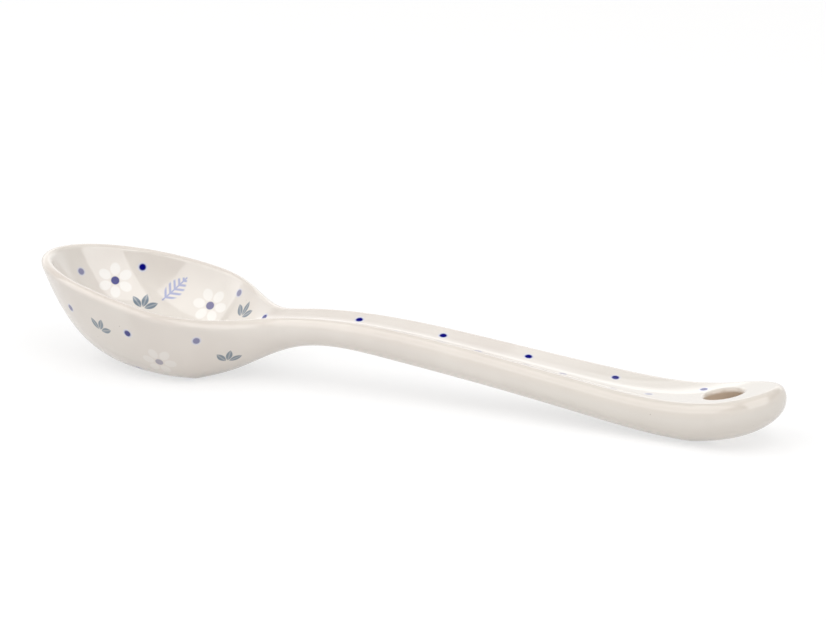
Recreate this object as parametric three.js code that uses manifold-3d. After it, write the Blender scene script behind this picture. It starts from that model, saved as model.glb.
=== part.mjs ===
// A serving spoon of glazed stoneware: an egg-shaped bowl and a channelled handle, joined with slip.
// Millimetres, +Z up. X runs from the tip of the bowl to the tail, and the spoon lies on the plane z = 0.
// One rounded rim runs from the tip round the bowl, along both sides of the handle and round the tail.
import * as THREE from 'three';
import { mergeVertices } from 'three/addons/utils/BufferGeometryUtils.js';
import Module from 'manifold-3d';

const wasm = await Module();
wasm.setup();

// Driving dimensions of the plan
const BOWL_LENGTH = 45.7; // tip to the back of the egg
const BOWL_WIDTH = 36.4;
const WIDEST_FROM_TIP = 30.2;
const HANDLE_LENGTH = 114.3; // back of the egg to the tail end
const NECK_WIDTH = 10;
const MIDDLE_WIDTH = 12.4;
const TAIL_WIDTH = 18.8;
const TAIL_CAP = 12.2; // length over which the tail rounds off

// Driving dimensions along the length, measured from the back of the egg or from the tail end
const HEEL_BEFORE_BACK = 7;
const SADDLE_BEHIND_BACK = 4;
const JOINT_BEHIND_BACK = 8.2;
const HUMP_BEHIND_BACK = 10;
const DIP_FROM_TAIL = 17.1;
const FOOT_FROM_TIP = 37.4;
const DEEPEST_FROM_TIP = 33; // lowest point of the bowl's inside
const EYE_FROM_TAIL = 11.4;

// Heights of the rim's crest
const TIP_HEIGHT = 21.3;
const SHOULDER_HEIGHT = 16.3;
const HEEL_HEIGHT = 14.55;
const SADDLE_HEIGHT = 13.55;
const HUMP_HEIGHT = 14.24;
const UPPER_HEIGHT = 14.78;
const MIDDLE_HEIGHT = 12.62;
const LOWER_HEIGHT = 10;
const DIP_HEIGHT = 9.12;
const END_HEIGHT = 12.7;

// Thicknesses
const RIM_WIDTH = 2.2;
const LIP_OUTSIDE = 1.45; // how far the rim's rounding reaches down the bowl's outer wall
const LIP_HANDLE = 3.3; // how far it reaches down the handle's sides
const LIP_INSIDE = 0.55; // how far it reaches down the bowl's inner wall
const FLOOR_THICKNESS = 4;
const SADDLE_THICKNESS = 9;
const HUMP_THICKNESS = 7.05;
const UPPER_THICKNESS = 6.95;
const MIDDLE_THICKNESS = 7.45;
const LOWER_THICKNESS = 7.95;
const CHANNEL_DEPTH = 0.9;
const RAIL_DROP = 0.25; // how far the channel's edge lies below the crest of its rail
const TAIL_DISH = 0.3;
const SLIP_THICKNESS = 0.6;
const SANDING = 0.15; // clay ground off the underside, which leaves the two flats that the spoon rests on

// Roundness: powers of the curves that the sections follow
const BOWL_POWER = 4.45;
const INSIDE_POWER = 3;
const BAR_POWER = 2.35;
const FLARE_START_POWER = 2.1; // of the plan where the bowl narrows to the neck
const FLARE_END_POWER = 2.15;
const TAIL_END_POWER = 2.4;

// The hanging eye
const EYE_DIAMETER = 7.4;
const EYE_ROUNDING = 0.9;

// Facets
const LOFT_STEPS_BOWL = 14;
const LOFT_STEPS_HANDLE = 34;
const TURN_STEPS_BOWL = 38;
const TURN_STEPS_TAIL = 22;
const UNDER_STEPS = 11;
const LIP_STEPS = 6;
const TOP_STEPS = 9;
const EYE_SEGMENTS = 40;
const EYE_ARC_STEPS = 5;
const WELD = 1e-4; // points closer together than this are one point
const LEAST_TURN = 1e-3; // radians, so that a straight lip has a radius

// Stations that follow from the driving dimensions
const LENGTH = BOWL_LENGTH + HANDLE_LENGTH;
const HEEL_X = BOWL_LENGTH - HEEL_BEFORE_BACK;
const SADDLE_X = BOWL_LENGTH + SADDLE_BEHIND_BACK;
const JOINT_X = BOWL_LENGTH + JOINT_BEHIND_BACK;
const HUMP_X = BOWL_LENGTH + HUMP_BEHIND_BACK;
const DIP_X = LENGTH - DIP_FROM_TAIL;
const EYE_X = LENGTH - EYE_FROM_TAIL;
const MIDDLE_X = (HUMP_X + DIP_X) / 2;
const UPPER_X = (HUMP_X + MIDDLE_X) / 2;
const LOWER_X = (MIDDLE_X + DIP_X) / 2;
const GROUND = -SANDING; // lowest clay before the underside is sanded
const FLOOR = GROUND + FLOOR_THICKNESS;

const mix = (a, b, t) => a + (b - a) * t;
const smooth = (from, to, x) => THREE.MathUtils.smoothstep(x, from, to);

// Cubic spline through [x, z] points, as a function of x. The ends are straight, or level where told so.
function spline(points, levelEnds) {
  const last = points.length - 1;
  const slope = (i) => (points[i + 1][1] - points[i][1]) / (points[i + 1][0] - points[i][0]);
  const span = (i) => points[i + 1][0] - points[i][0];
  const ratio = [];
  const load = [];
  for (let i = 0; i <= last; i++) {
    const before = i > 0 ? span(i - 1) : 0;
    const after = i < last ? span(i) : 0;
    const inside = i > 0 && i < last;
    if (!inside && !levelEnds) {
      ratio.push(0);
      load.push(0);
      continue;
    }
    const turn = (i < last ? slope(i) : 0) - (i > 0 ? slope(i - 1) : 0);
    const pivot = 2 * (before + after) - (i > 0 ? before * ratio[i - 1] : 0);
    ratio.push(after / pivot);
    load.push((6 * turn - (i > 0 ? before * load[i - 1] : 0)) / pivot);
  }
  const bend = load.slice();
  for (let i = last - 1; i >= 0; i--) bend[i] -= ratio[i] * bend[i + 1];
  return (x) => {
    let i = 0;
    while (i < last - 1 && x > points[i + 1][0]) i++;
    const b = (x - points[i][0]) / span(i);
    const a = 1 - b;
    const sag = ((a ** 3 - a) * bend[i] + (b ** 3 - b) * bend[i + 1]) * span(i) ** 2 / 6;
    return a * points[i][1] + b * points[i + 1][1] + sag;
  };
}

// Lines along the length: the rim's crest, the underside and the handle's half width
const crest = spline([
  [0, TIP_HEIGHT], [WIDEST_FROM_TIP, SHOULDER_HEIGHT], [HEEL_X, HEEL_HEIGHT], [SADDLE_X, SADDLE_HEIGHT],
  [HUMP_X, HUMP_HEIGHT], [UPPER_X, UPPER_HEIGHT], [MIDDLE_X, MIDDLE_HEIGHT], [LOWER_X, LOWER_HEIGHT],
  [DIP_X, DIP_HEIGHT], [LENGTH, END_HEIGHT],
], false);
const barUnderside = spline([
  [FOOT_FROM_TIP, GROUND],
  [SADDLE_X, SADDLE_HEIGHT - SADDLE_THICKNESS],
  [HUMP_X, HUMP_HEIGHT - HUMP_THICKNESS],
  [UPPER_X, UPPER_HEIGHT - UPPER_THICKNESS],
  [MIDDLE_X, MIDDLE_HEIGHT - MIDDLE_THICKNESS],
  [LOWER_X, LOWER_HEIGHT - LOWER_THICKNESS],
  [DIP_X, GROUND],
], true);
const barHalfWidth = spline([
  [HUMP_X, NECK_WIDTH / 2], [MIDDLE_X, MIDDLE_WIDTH / 2], [EYE_X, TAIL_WIDTH / 2],
], false);

// How far the rim's rounding reaches down the outside
const lipReach = (x) => mix(LIP_OUTSIDE, LIP_HANDLE, smooth(HEEL_X, MIDDLE_X, x));

// Height at which the outer wall ends and the lip begins
const outerEdge = (x) => crest(x) - lipReach(x);

// Height at which the lip ends: on the bowl's inner wall, and close under the crest on the handle's rails
const innerEdge = (x) => crest(x) - mix(LIP_INSIDE, RAIL_DROP, smooth(HEEL_X, HUMP_X, x));

// Half the plan's width at x, drawn in by an inset: half an ellipse, then a flare into the handle's bar
function halfWidth(x, inset) {
  const half = BOWL_WIDTH / 2 - inset;
  if (x < WIDEST_FROM_TIP) {
    const along = (WIDEST_FROM_TIP - x) / (WIDEST_FROM_TIP - inset);
    return half * Math.sqrt(Math.max(0, 1 - along ** 2));
  }
  const bar = barHalfWidth(THREE.MathUtils.clamp(x, HUMP_X, EYE_X)) - inset;
  const along = Math.min(1, (x - WIDEST_FROM_TIP) / (HUMP_X - inset - WIDEST_FROM_TIP));
  const flared = mix(bar, half, (1 - along ** FLARE_START_POWER) ** FLARE_END_POWER);
  const capped = THREE.MathUtils.clamp((x - LENGTH + TAIL_CAP) / (TAIL_CAP - inset), 0, 1);
  return flared * Math.sqrt(1 - capped ** 2);
}

// Height of the underside on the centre line: it curls up to the rim at both ends
function underside(x) {
  if (x < FOOT_FROM_TIP) {
    return mix(GROUND, outerEdge(x), (1 - x / FOOT_FROM_TIP) ** BOWL_POWER);
  }
  if (x > DIP_X) {
    const along = (x - DIP_X) / (LENGTH - DIP_X);
    return mix(GROUND, outerEdge(x), 1 - Math.max(0, 1 - along) ** (1 / TAIL_END_POWER));
  }
  return barUnderside(x);
}

// Height of the inside on the centre line: the floor rises into the channel, which fades out at the eye
function inside(x) {
  if (x < DEEPEST_FROM_TIP) {
    const along = (DEEPEST_FROM_TIP - x) / (DEEPEST_FROM_TIP - RIM_WIDTH);
    return mix(FLOOR, innerEdge(x), Math.min(1, along) ** INSIDE_POWER);
  }
  const depth = mix(CHANNEL_DEPTH, TAIL_DISH, smooth(LOWER_X, EYE_X, x));
  const channel = innerEdge(x) - depth * (1 - smooth(EYE_X, LENGTH - RIM_WIDTH, x));
  return mix(FLOOR, channel, smooth(DEEPEST_FROM_TIP, JOINT_X, x));
}

// A section that is a paraboloid's in the bowl: side is 0 on the centre line and 1 at the edge
function dish(bottom, middle, edge, side, power) {
  const part = THREE.MathUtils.clamp((middle - bottom) / (edge - bottom), 0, 1) ** (2 / power);
  return mix(bottom, edge, (part + (1 - part) * side ** 2) ** (power / 2));
}

// Share of the half width at which a point of the plan lies
function sideways(x, y, inset) {
  const half = halfWidth(x, inset);
  return half > 0 ? Math.min(1, Math.abs(y) / half) : 1;
}

// Height of the outer surface over a point of the plan: a dish in the bowl, a rounded bar in the handle
function outerHeight(x, y) {
  const side = sideways(x, y, 0);
  const edge = outerEdge(x);
  const middle = underside(x);
  const bowl = dish(GROUND, middle, edge, side, BOWL_POWER);
  const bar = edge - (edge - middle) * (1 - side ** BAR_POWER) ** (1 / BAR_POWER);
  return mix(bowl, bar, smooth(HEEL_X, HUMP_X, x));
}

// Height of the inner surface over a point of the plan, which the rim's width draws in
function innerHeight(x, y) {
  return dish(FLOOR, inside(x), innerEdge(x), sideways(x, y, RIM_WIDTH), INSIDE_POWER);
}

// Points from the pole on the axis out to the plan's edge, close together near the edge
function surfaceLine(pole, edge, steps, height) {
  const at = (t) => {
    const plan = new THREE.Vector2().lerpVectors(pole, edge, Math.sin(t * Math.PI / 2));
    return new THREE.Vector3(plan.x, plan.y, height(plan.x, plan.y));
  };
  return Array.from({ length: steps + 1 }, (_, i) => at(i / steps));
}

// A lip from one point to another that leaves both surfaces smoothly, as near to an arc as their slopes allow
function lip(from, fromDirection, to, toDirection) {
  const turn = Math.max(fromDirection.angleTo(toDirection), LEAST_TURN);
  const width = Math.min(from.distanceTo(to), Math.hypot(RIM_WIDTH, lipReach(from.x)));
  const radius = width / (2 * Math.sin(turn / 2));
  const handle = radius * Math.tan(turn / 4) * 4 / 3;
  const curve = new THREE.CubicBezierCurve3(
    from,
    from.clone().addScaledVector(fromDirection, handle),
    to.clone().addScaledVector(toDirection, -handle),
    to,
  );
  return curve.getPoints(LIP_STEPS).slice(1, -1);
}

// Half a section, from the underside's centre line out to the edge, over the lip and back in along the top
function meridian(underPole, outer, topPole, inner) {
  const under = surfaceLine(underPole, outer, UNDER_STEPS, outerHeight);
  const top = surfaceLine(topPole, inner, TOP_STEPS, innerHeight).reverse();
  const rising = under[UNDER_STEPS].clone().sub(under[UNDER_STEPS - 1]).normalize();
  const falling = top[1].clone().sub(top[0]).normalize();
  return [...under, ...lip(under[UNDER_STEPS], rising, top[0], falling), ...top];
}

// The half section at x on one side of the centre line
function crossMeridian(x, hand) {
  const axis = new THREE.Vector2(x, 0);
  const outer = new THREE.Vector2(x, hand * halfWidth(x, 0));
  const inner = new THREE.Vector2(x, hand * halfWidth(x, RIM_WIDTH));
  return meridian(axis, outer, axis, inner);
}

// The half section that leaves a pole for a point of the end's outline, turned from one side to the other
function endMeridian(poleX, endX, turn) {
  const axis = new THREE.Vector2(poleX, 0);
  const hand = Math.sign(Math.round((Math.PI / 2 - turn) / WELD));
  const edge = (inset) => {
    const reach = endX - poleX;
    const x = poleX + (reach - Math.sign(reach) * inset) * Math.sin(turn);
    return new THREE.Vector2(x, hand * halfWidth(x, inset));
  };
  return meridian(axis, edge(0), axis, edge(RIM_WIDTH));
}

// Positions of a triangle list as a merged, closed BufferGeometry whose faces point out
function closedGeometry(triangles) {
  const positions = triangles.flatMap((corner) => corner.toArray());
  let loose = new THREE.BufferGeometry();
  loose.setAttribute('position', new THREE.Float32BufferAttribute(positions, 3));
  loose = mergeVertices(loose, WELD);
  const corners = Array.from(loose.index.array);
  const kept = [];
  for (let i = 0; i < corners.length; i += 3) {
    const [a, b, c] = corners.slice(i, i + 3);
    if (a !== b && b !== c && c !== a) kept.push(a, b, c);
  }
  loose.setIndex(kept);
  return loose;
}

// Triangles between neighbouring lines of points
function skin(lines) {
  const triangles = [];
  for (let i = 0; i + 1 < lines.length; i++) {
    for (let j = 0; j + 1 < lines[i].length; j++) {
      const [a, b] = [lines[i][j], lines[i][j + 1]];
      const [c, d] = [lines[i + 1][j], lines[i + 1][j + 1]];
      triangles.push(a, c, b, b, c, d);
    }
  }
  return triangles;
}

// The flat face that a cut across the spoon leaves, between its two half sections
function cutFace(right, left, facing) {
  const loop = [...right, ...left.slice(1, -1).reverse()];
  const flat = loop.map((p) => new THREE.Vector2(p.y, p.z));
  const triangles = [];
  for (const [a, b, c] of THREE.ShapeUtils.triangulateShape(flat, [])) {
    const turned = flat[b].clone().sub(flat[a]).cross(flat[c].clone().sub(flat[a]));
    const outward = turned * facing > 0 ? [a, b, c] : [a, c, b];
    triangles.push(...outward.map((i) => loop[i]));
  }
  return triangles;
}

// One end of the spoon, from a cut across it to the tip or to the tail, turning about a pole near that end
function spoonEnd(cutX, poleX, endX, loftSteps, turnSteps) {
  const facing = Math.sign(cutX - poleX);
  const along = Array.from({ length: loftSteps }, (_, i) => mix(cutX, poleX, i / loftSteps));
  const turns = Array.from({ length: turnSteps + 1 }, (_, i) => Math.PI * i / turnSteps);
  const right = along.map((x) => crossMeridian(x, facing));
  const round = turns.map((turn) => endMeridian(poleX, endX, turn));
  const left = along.map((x) => crossMeridian(x, -facing)).reverse();
  const first = facing > 0 ? round : round.map((_, i) => round[turnSteps - i]);
  const lines = [...right, ...first, ...left];
  return closedGeometry([...skin(lines), ...cutFace(right[0], left[left.length - 1], facing)]);
}

// The layer of slip between two cuts
function slipLayer(fromX, toX) {
  const halves = (x) => [crossMeridian(x, 1), crossMeridian(x, -1)];
  const [fromRight, fromLeft] = halves(fromX);
  const [toRight, toLeft] = halves(toX);
  const sides = [...skin([toRight, fromRight]), ...skin([fromLeft, toLeft])];
  return closedGeometry([...sides, ...cutFace(fromRight, fromLeft, -1), ...cutFace(toRight, toLeft, 1)]);
}

// Geometry to solid and back, for the cuts
function solid(geometry) {
  const bare = geometry.clone();
  bare.deleteAttribute('normal');
  bare.deleteAttribute('uv');
  const merged = mergeVertices(bare, WELD);
  return new wasm.Manifold(new wasm.Mesh({
    numProp: 3,
    vertProperties: new Float32Array(merged.attributes.position.array),
    triVerts: new Uint32Array(merged.index.array),
  }));
}

function geometryOf(manifold) {
  const mesh = manifold.getMesh();
  const geometry = new THREE.BufferGeometry();
  geometry.setAttribute('position', new THREE.Float32BufferAttribute(mesh.vertProperties, 3));
  geometry.setIndex(Array.from(mesh.triVerts));
  geometry.computeVertexNormals();
  return geometry;
}

// Everything below the table, which sanding takes off
function sandingBlock() {
  const block = new THREE.BoxGeometry(2 * LENGTH, 2 * BOWL_WIDTH, BOWL_WIDTH);
  return solid(block.translate(LENGTH / 2, 0, -BOWL_WIDTH / 2));
}

// A plug that cuts the hanging eye square to the tail's top face, flared so that the eye's edges are round
function eyePlug() {
  const top = innerHeight(EYE_X, 0);
  const bottom = underside(EYE_X);
  const half = (top - bottom) / 2;
  const radius = EYE_DIAMETER / 2;
  const wide = radius + EYE_ROUNDING;
  const flare = (level, sign, from) => Array.from({ length: EYE_ARC_STEPS + 1 }, (_, i) => {
    const turn = Math.abs(from - i / EYE_ARC_STEPS) * Math.PI / 2;
    const fall = EYE_ROUNDING * (1 - Math.sin(turn));
    return new THREE.Vector2(wide - EYE_ROUNDING * Math.cos(turn), level - sign * fall);
  });
  const beyond = half + TAIL_WIDTH / 2;
  const outline = [
    new THREE.Vector2(0, -beyond), new THREE.Vector2(wide, -beyond),
    ...flare(-half, -1, 1), ...flare(half, 1, 0),
    new THREE.Vector2(wide, beyond), new THREE.Vector2(0, beyond),
  ];
  const plug = new THREE.LatheGeometry(outline, EYE_SEGMENTS).rotateX(Math.PI / 2);
  const run = RIM_WIDTH;
  const rise = innerHeight(EYE_X + run, 0) - top;
  return solid(plug.rotateY(-Math.atan2(rise, run)).translate(EYE_X, 0, (top + bottom) / 2));
}

// Finishes
const glazedClay = new THREE.MeshStandardMaterial({ color: 0xe6e0d6, roughness: 0.14, metalness: 0 });
const glazedHandle = new THREE.MeshStandardMaterial({ color: 0xe4ded3, roughness: 0.14, metalness: 0 });
const bareSlip = new THREE.MeshStandardMaterial({ color: 0xcfc2ad, roughness: 0.8, metalness: 0 });

const slipFront = JOINT_X - SLIP_THICKNESS / 2;
const slipBack = JOINT_X + SLIP_THICKNESS / 2;

const bowlClay = spoonEnd(slipFront, WIDEST_FROM_TIP, 0, LOFT_STEPS_BOWL, TURN_STEPS_BOWL);
const handleClay = spoonEnd(slipBack, EYE_X, LENGTH, LOFT_STEPS_HANDLE, TURN_STEPS_TAIL);

const pieces = {
  bowl: [geometryOf(solid(bowlClay).subtract(sandingBlock())), glazedClay],
  luting_slip: [slipLayer(slipFront, slipBack), bareSlip],
  handle: [geometryOf(solid(handleClay).subtract(eyePlug()).subtract(sandingBlock())), glazedHandle],
};

const spoon = new THREE.Group();
spoon.name = 'spoon';
for (const [name, [geometry, material]] of Object.entries(pieces)) {
  const mesh = new THREE.Mesh(geometry, material);
  mesh.name = name;
  mesh.position.x = -LENGTH / 2;
  spoon.add(mesh);
}

export default spoon;
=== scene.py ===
"""The looks of a glazed stoneware serving spoon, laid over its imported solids.

The clay is described once, by SpoonForm, as two height fields over the spoon's plan and a rounded lip
between them. The bowl, the handle and the layer of slip that joins them each take their own stretch of
that surface, so the glaze runs over the joint without a step. Lengths are millimetres measured from the
tip of the bowl, and become metres in the part's frame when a mesh is made.
"""

import logging
import math
from dataclasses import dataclass, field
from enum import IntEnum
from functools import cached_property
from typing import Any, Callable, Mapping, Sequence, Union

import bpy
import numpy as np
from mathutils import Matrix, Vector


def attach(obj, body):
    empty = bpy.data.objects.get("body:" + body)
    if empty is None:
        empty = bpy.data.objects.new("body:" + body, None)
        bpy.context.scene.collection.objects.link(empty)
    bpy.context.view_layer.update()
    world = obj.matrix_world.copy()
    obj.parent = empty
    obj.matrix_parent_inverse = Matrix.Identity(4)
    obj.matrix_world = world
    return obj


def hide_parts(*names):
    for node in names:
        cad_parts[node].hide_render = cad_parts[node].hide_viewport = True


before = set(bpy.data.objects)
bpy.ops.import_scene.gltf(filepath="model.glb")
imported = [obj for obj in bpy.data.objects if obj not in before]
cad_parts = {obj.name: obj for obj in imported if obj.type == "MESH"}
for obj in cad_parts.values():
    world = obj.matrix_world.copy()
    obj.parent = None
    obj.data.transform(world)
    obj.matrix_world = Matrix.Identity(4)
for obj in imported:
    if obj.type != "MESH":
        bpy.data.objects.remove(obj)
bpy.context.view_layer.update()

log = logging.getLogger("spoon")

Array = np.ndarray
Height = Callable[[Array, Array], Array]
Colour = tuple[float, float, float, float]
Band = tuple[float, float]  # the ends of a range, or the values at which a smoothstep is 0 and 1

METRES_PER_MM = 0.001
WELD = 1e-4  # points closer than this, in mm, are one point
COSINE_DIGITS = 9  # a cosine that is 0 to this many digits counts as 0
HANDS = (1.0, -1.0)  # signs of the two sides of the centre line
NOISE_MEAN = 0.5
WHITE: Colour = (1.0, 1.0, 1.0, 1.0)
BODY = "root"


def mix(start: Any, end: Any, share: Any) -> Any:
    """Value that lies a share of the way from start to end."""
    return start + (end - start) * share


def smooth(start: float, end: float, value: Array) -> Array:
    """Smoothstep: 0 up to start, 1 from end on, and 3t^2 - 2t^3 between them."""
    share = np.clip((value - start) / (end - start), 0.0, 1.0)
    return share * share * (3.0 - 2.0 * share)


def srgb(red: int, green: int, blue: int) -> Colour:
    """Linear colour of a display colour, by the straight and the power part of its curve.

    Args:
        red: Red level, 0 to 255.
        green: Green level.
        blue: Blue level.

    Returns:
        The colour with full alpha, as sockets take it.
    """
    shares = np.array([red, green, blue]) / 255.0
    linear = np.where(shares <= 0.04045, shares / 12.92, ((shares + 0.055) / 1.055) ** 2.4)
    return (*linear.tolist(), 1.0)


def unit(vectors: Array) -> Array:
    """Vectors divided by their lengths, along the last axis."""
    lengths = np.linalg.norm(vectors, axis=-1, keepdims=True)
    return vectors / np.maximum(lengths, np.finfo(float).tiny)


def hand_round(turn: Array) -> Array:
    """Hand at the angles of a half turn: 1 before its middle, 0 on it and -1 after it."""
    return np.sign(np.round(np.cos(turn), COSINE_DIGITS))


def weld_keys(points: Array) -> Array:
    """Whole numbers that are the same for points that coincide."""
    return np.round(points / WELD).astype(np.int64)


def corner_points(mesh: Any) -> Array:
    """Numbers of the points at the corners of a mesh's faces.

    Args:
        mesh: The mesh to read.

    Returns:
        One number per corner, face after face.
    """
    corners = np.empty(len(mesh.loops), dtype=np.int32)
    mesh.loops.foreach_get("vertex_index", corners)
    return corners


def link(name: str, data: Any) -> Any:
    """Makes an object and links it to the scene.

    Args:
        name: The object's name.
        data: Its mesh, lamp or camera.

    Returns:
        The object.
    """
    made = bpy.data.objects.new(name, data)
    bpy.context.scene.collection.objects.link(made)
    return made


def stand_off(held: Any, target: Vector, azimuth: float, elevation: float, distance: float) -> None:
    """Puts a lamp or a camera at a bearing from a target and turns it to the target.

    Args:
        held: The object to place.
        target: Place that it looks at.
        azimuth: Degrees from +X towards +Y.
        elevation: Degrees above the table.
        distance: Metres from the target.
    """
    turn, rise = math.radians(azimuth), math.radians(elevation)
    heading = Vector((math.cos(turn) * math.cos(rise), math.sin(turn) * math.cos(rise), math.sin(rise)))
    held.location = target + heading * distance
    held.rotation_euler = (-heading).to_track_quat("-Z", "Y").to_euler()


@dataclass(frozen=True)
class CubicLine:
    """A cubic spline z(x) through a few stations, with straight or level ends."""

    stations: Array
    heights: Array
    level_ends: bool = False

    @cached_property
    def bends(self) -> Array:
        """Second derivatives at the stations, from the spline's tridiagonal equations."""
        spans = np.diff(self.stations)
        slopes = np.diff(self.heights) / spans
        count = len(self.stations)
        matrix = np.eye(count)
        load = np.zeros(count)
        inner = np.arange(1, count - 1)
        matrix[inner, inner - 1] = spans[:-1]
        matrix[inner, inner] = 2.0 * (spans[:-1] + spans[1:])
        matrix[inner, inner + 1] = spans[1:]
        load[inner] = 6.0 * np.diff(slopes)
        if self.level_ends:
            matrix[0, :2] = 2.0 * spans[0], spans[0]
            matrix[-1, -2:] = spans[-1], 2.0 * spans[-1]
            load[0], load[-1] = 6.0 * slopes[0], -6.0 * slopes[-1]
        return np.linalg.solve(matrix, load)

    def __call__(self, x: Array) -> Array:
        """Height at x: the chord between two stations plus the sag of their bends.

        Args:
            x: Places along the line.

        Returns:
            Heights at those places.
        """
        index = np.clip(np.searchsorted(self.stations, x) - 1, 0, len(self.stations) - 2)
        span = self.stations[index + 1] - self.stations[index]
        after = (x - self.stations[index]) / span
        before = 1.0 - after
        chord = before * self.heights[index] + after * self.heights[index + 1]
        sag = (before**3 - before) * self.bends[index] + (after**3 - after) * self.bends[index + 1]
        return chord + sag * span**2 / 6.0


@dataclass(frozen=True)
class SpoonForm:
    """The spoon's clay in mm: sizes of its plan, heights of its rim and thicknesses of its walls."""

    bowl_width: float = 36.4
    widest_x: float = 30.2
    length: float = 160.0
    neck_width: float = 10.0
    middle_width: float = 12.4
    tail_width: float = 18.8
    tail_cap: float = 12.2
    heel_x: float = 38.7
    saddle_x: float = 49.7
    joint_x: float = 53.9
    hump_x: float = 55.7
    dip_x: float = 142.9
    foot_x: float = 37.4
    deepest_x: float = 33.0
    eye_x: float = 148.6
    tip_height: float = 21.3
    shoulder_height: float = 16.3
    heel_height: float = 14.55
    saddle_height: float = 13.55
    hump_height: float = 14.24
    upper_height: float = 14.78
    middle_height: float = 12.62
    lower_height: float = 10.0
    dip_height: float = 9.12
    end_height: float = 12.7
    rim_width: float = 2.2
    lip_outside: float = 1.45
    lip_handle: float = 3.3
    lip_inside: float = 0.55
    floor_thickness: float = 4.0
    saddle_thickness: float = 9.0
    hump_thickness: float = 7.05
    upper_thickness: float = 6.95
    middle_thickness: float = 7.45
    lower_thickness: float = 7.95
    channel_depth: float = 0.9
    rail_drop: float = 0.25
    tail_dish: float = 0.3
    slip_thickness: float = 0.6
    sanding: float = 0.15
    bowl_power: float = 4.45
    inside_power: float = 3.0
    bar_power: float = 2.35
    flare_start_power: float = 2.1
    flare_end_power: float = 2.15
    tail_end_power: float = 2.4
    eye_diameter: float = 7.4
    eye_rounding: float = 0.9

    @property
    def middle_x(self) -> float:
        """Station halfway between the hump and the dip."""
        return (self.hump_x + self.dip_x) / 2.0

    @property
    def upper_x(self) -> float:
        """Station halfway between the hump and the middle."""
        return (self.hump_x + self.middle_x) / 2.0

    @property
    def lower_x(self) -> float:
        """Station halfway between the middle and the dip."""
        return (self.middle_x + self.dip_x) / 2.0

    @property
    def ground(self) -> float:
        """Lowest clay before the underside is sanded flat at z = 0."""
        return -self.sanding

    @property
    def floor(self) -> float:
        """Height of the bowl's floor."""
        return self.ground + self.floor_thickness

    @property
    def slip_front(self) -> float:
        """Station of the slip's face on the bowl."""
        return self.joint_x - self.slip_thickness / 2.0

    @property
    def slip_back(self) -> float:
        """Station of the slip's face on the handle."""
        return self.joint_x + self.slip_thickness / 2.0

    @cached_property
    def crest(self) -> CubicLine:
        """Height of the rim's crest along the length."""
        stations = (
            (0.0, self.tip_height),
            (self.widest_x, self.shoulder_height),
            (self.heel_x, self.heel_height),
            (self.saddle_x, self.saddle_height),
            (self.hump_x, self.hump_height),
            (self.upper_x, self.upper_height),
            (self.middle_x, self.middle_height),
            (self.lower_x, self.lower_height),
            (self.dip_x, self.dip_height),
            (self.length, self.end_height),
        )
        return CubicLine(*np.transpose(stations))

    @cached_property
    def bar_underside(self) -> CubicLine:
        """Height of the underside on the centre line, from the bowl's foot to the tail's pad."""
        stations = (
            (self.foot_x, self.ground),
            (self.saddle_x, self.saddle_height - self.saddle_thickness),
            (self.hump_x, self.hump_height - self.hump_thickness),
            (self.upper_x, self.upper_height - self.upper_thickness),
            (self.middle_x, self.middle_height - self.middle_thickness),
            (self.lower_x, self.lower_height - self.lower_thickness),
            (self.dip_x, self.ground),
        )
        return CubicLine(*np.transpose(stations), level_ends=True)

    @cached_property
    def bar_half_width(self) -> CubicLine:
        """Half the handle's width along the length."""
        stations = (
            (self.hump_x, self.neck_width / 2.0),
            (self.middle_x, self.middle_width / 2.0),
            (self.eye_x, self.tail_width / 2.0),
        )
        return CubicLine(*np.transpose(stations))

    def lip_reach(self, x: Array) -> Array:
        """How far the rim's rounding reaches down the outside."""
        return mix(self.lip_outside, self.lip_handle, smooth(self.heel_x, self.middle_x, x))

    def outer_edge(self, x: Array) -> Array:
        """Height at which the outer wall ends and the lip begins."""
        return self.crest(x) - self.lip_reach(x)

    def inner_edge(self, x: Array) -> Array:
        """Height at which the lip ends: on the bowl's inner wall, or just under the crest of the rails."""
        return self.crest(x) - mix(self.lip_inside, self.rail_drop, smooth(self.heel_x, self.hump_x, x))

    def half_width(self, x: Array, inset: float) -> Array:
        """Half the plan's width: half an ellipse in front, then a flare into the handle's bar.

        The flare is bar + (bowl - bar) * (1 - t^start)^end, with t from 0 at the widest station to 1 at the
        hump. Half an ellipse closes the tail.

        Args:
            x: Stations along the length.
            inset: How far the outline is drawn in.

        Returns:
            Half widths at the stations.
        """
        half = self.bowl_width / 2.0 - inset
        ahead = np.clip((self.widest_x - x) / (self.widest_x - inset), 0.0, 1.0)
        front = half * np.sqrt(1.0 - ahead**2)
        bar = self.bar_half_width(np.clip(x, self.hump_x, self.eye_x)) - inset
        along = np.clip((x - self.widest_x) / (self.hump_x - inset - self.widest_x), 0.0, 1.0)
        flared = mix(bar, half, (1.0 - along**self.flare_start_power) ** self.flare_end_power)
        capped = np.clip((x - self.length + self.tail_cap) / (self.tail_cap - inset), 0.0, 1.0)
        return np.where(x < self.widest_x, front, flared * np.sqrt(1.0 - capped**2))

    def underside(self, x: Array) -> Array:
        """Height of the underside on the centre line, which curls up to the rim at both ends.

        In front it rises as (1 - x / foot)^power, and at the tail as 1 - (1 - t)^(1 / power), both from the
        ground to the outer edge. The bar's own line runs between them.

        Args:
            x: Stations along the length.

        Returns:
            Heights at the stations.
        """
        front = np.maximum(0.0, 1.0 - x / self.foot_x) ** self.bowl_power
        along = np.clip((x - self.dip_x) / (self.length - self.dip_x), 0.0, 1.0)
        tail = 1.0 - (1.0 - along) ** (1.0 / self.tail_end_power)
        ends = mix(self.ground, self.outer_edge(x), np.where(x < self.foot_x, front, tail))
        between = (x >= self.foot_x) & (x <= self.dip_x)
        return np.where(between, self.bar_underside(x), ends)

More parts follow.
